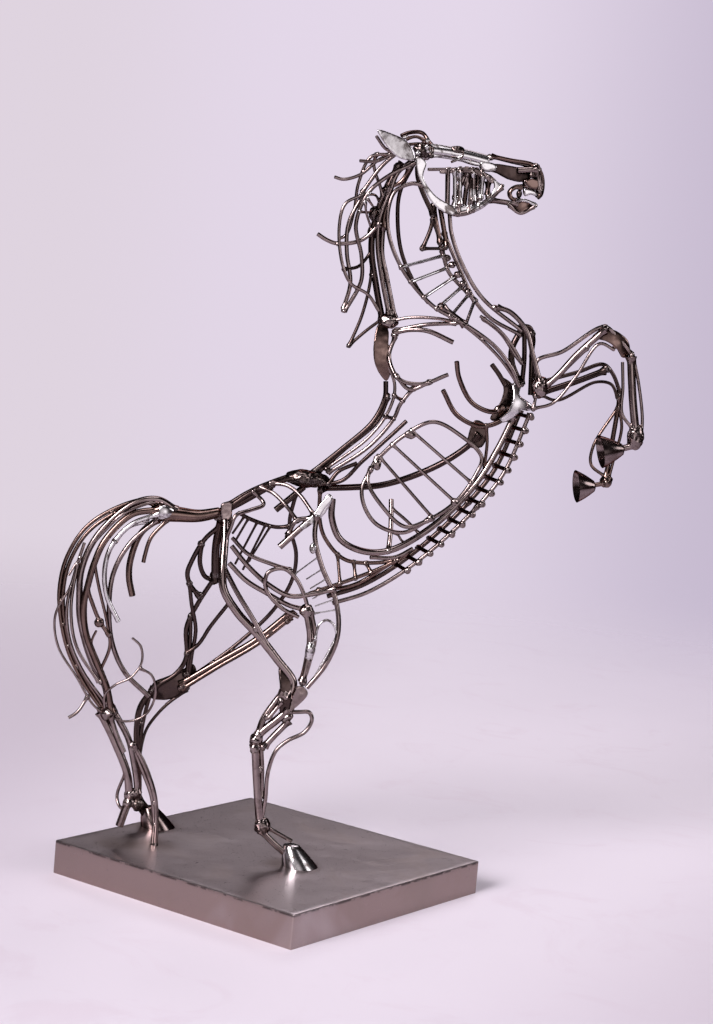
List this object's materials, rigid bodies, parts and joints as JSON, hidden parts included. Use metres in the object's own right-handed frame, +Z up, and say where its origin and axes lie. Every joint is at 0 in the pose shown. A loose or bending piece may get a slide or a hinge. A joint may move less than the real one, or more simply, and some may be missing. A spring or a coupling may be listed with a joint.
{
  "type": "rearing horse sculpture",
  "caption": "Rearing horse figure welded from bent steel rod and sheet scraps, standing on its hind legs and tail on a square box base.",
  "frame": {"origin": "middle of the whole work's bounding box, on the surface that it stands on", "axes": "+X is the way the horse faces, +Y its left side, +Z up; the square base is turned 45 degrees about +Z, so its diagonals lie along X and Y"},
  "size_m": [0.558, 0.4242, 0.7514],
  "materials": {
    "base_steel": "satin, ground and waxed",
    "rod_steel": "wire-brushed, clear coated",
    "bright_steel": "ground bright, clear coated",
    "heat_tinted_steel": "brown heat tint, clear coated",
    "scaled_steel": "dark mill scale and weld soot"
  },
  "bodies": {
    "root": {"base": "base_steel", "belly_ladder_front": "rod_steel", "belly_ladder_rear": "rod_steel", "breast_arcs": "heat_tinted_steel", "breast_inner": "rod_steel", "breast_left": "scaled_steel", "breast_plate": "bright_steel", "breast_right": "rod_steel", "breast_sheet": "scaled_steel", "cannon_fore_left": "heat_tinted_steel", "cannon_fore_right": "rod_steel", "cannon_right": "rod_steel", "cheek": "rod_steel", "cheek_strap": "bright_steel", "crest_dark": "scaled_steel", "crest_light": "rod_steel", "croup_inner": "scaled_steel", "croup_top": "scaled_steel", "dock": "heat_tinted_steel", "ear_right": "bright_steel", "face_bar": "bright_steel", "forearm_left": "scaled_steel", "forearm_right": "rod_steel", "hip_rods": "rod_steel", "hip_strap": "rod_steel", "hock_left": "scaled_steel", "hoof_fore_left": "bright_steel", "hoof_fore_right": "bright_steel", "hoof_hind_left": "bright_steel", "hoof_hind_right": "bright_steel", "jowl": "scaled_steel", "keel": "rod_steel", "keel_inner": "heat_tinted_steel", "loin": "scaled_steel", "lower_jaw": "scaled_steel", "mane_back": "rod_steel", "mane_front": "bright_steel", "mane_top": "rod_steel", "muzzle": "rod_steel", "neck_left": "scaled_steel", "neck_loop": "rod_steel", "rib_frame": "rod_steel", "rib_left": "scaled_steel", "rump_left": "scaled_steel", "shank_left": "heat_tinted_steel", "shank_right": "rod_steel", "shoulder_hook": "rod_steel", "shoulder_rods": "rod_steel", "spine_right": "rod_steel", "tail_back": "rod_steel", "tail_foot": "rod_steel", "tail_low": "rod_steel", "tail_middle": "heat_tinted_steel", "tail_outer": "heat_tinted_steel", "tail_side": "rod_steel", "tail_strand_1": "bright_steel", "tail_strand_2": "rod_steel", "thigh_right": "rod_steel", "throat_back": "rod_steel", "throat_front": "rod_steel"}
  },
  "joints": []
}
